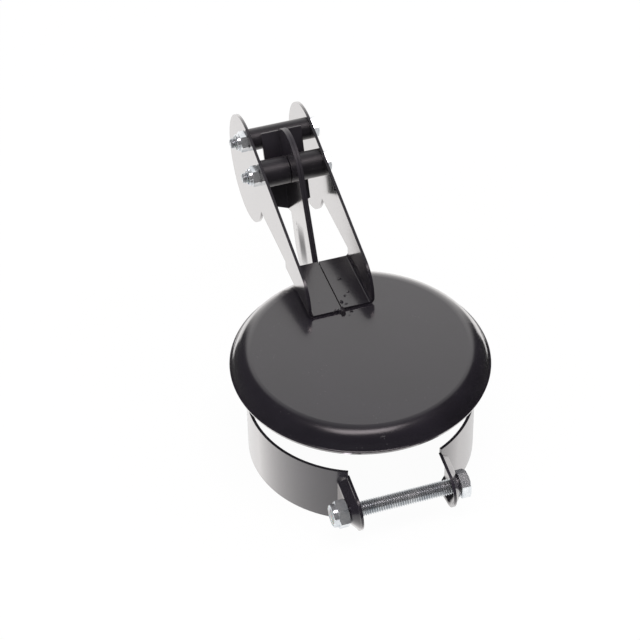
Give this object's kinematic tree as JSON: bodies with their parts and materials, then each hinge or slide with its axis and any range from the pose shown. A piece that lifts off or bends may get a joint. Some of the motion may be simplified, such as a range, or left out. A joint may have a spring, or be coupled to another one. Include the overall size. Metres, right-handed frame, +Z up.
{
  "type": "flue rain cap",
  "caption": "Hinged rain cap for a vertical exhaust or flue pipe: a clamp band with an upright that carries a round lid on two arms with a counterweight.",
  "frame": {"origin": "on the pipe's axis, level with the lower edge of the clamp band, on which the cap stands", "axes": "+Z up along the pipe, +Y from the pipe to the hinge at the back, X along the bolts, with the bolt heads on +X and the nuts on -X"},
  "size_m": [0.1334, 0.2462, 0.116],
  "materials": {
    "black_paint": "semi-gloss black powder coat on 1.5 mm sheet steel",
    "zinc_steel": "bright zinc plating on standard bolts and nuts",
    "nylon": "natural translucent nylon insert"
  },
  "bodies": {
    "clamp": {"clamp_half_left": "black_paint", "clamp_half_right": "black_paint", "web_spot_welds": "black_paint", "clamp_bolt": "zinc_steel", "clamp_nut": "zinc_steel", "clamp_nut_ring": "nylon"},
    "flap": {"lid": "black_paint", "arm_left": "black_paint", "arm_right": "black_paint", "seam_weld": "black_paint", "rear_weld": "black_paint", "hinge_bolt": "zinc_steel", "hinge_nut": "zinc_steel", "hinge_nut_ring": "nylon", "hinge_spacer_left": "black_paint", "hinge_spacer_right": "black_paint", "counterweight": "black_paint", "counterweight_bolt": "zinc_steel", "counterweight_nut": "zinc_steel", "counterweight_nut_ring": "nylon"}
  },
  "joints": [
    {"name": "lid_hinge", "type": "hinge", "parent": "clamp", "child": "flap", "pos_m": [0, 0.115, 0.094], "axis": [-1, 0, 0], "range_deg": [0, 81]}
  ]
}
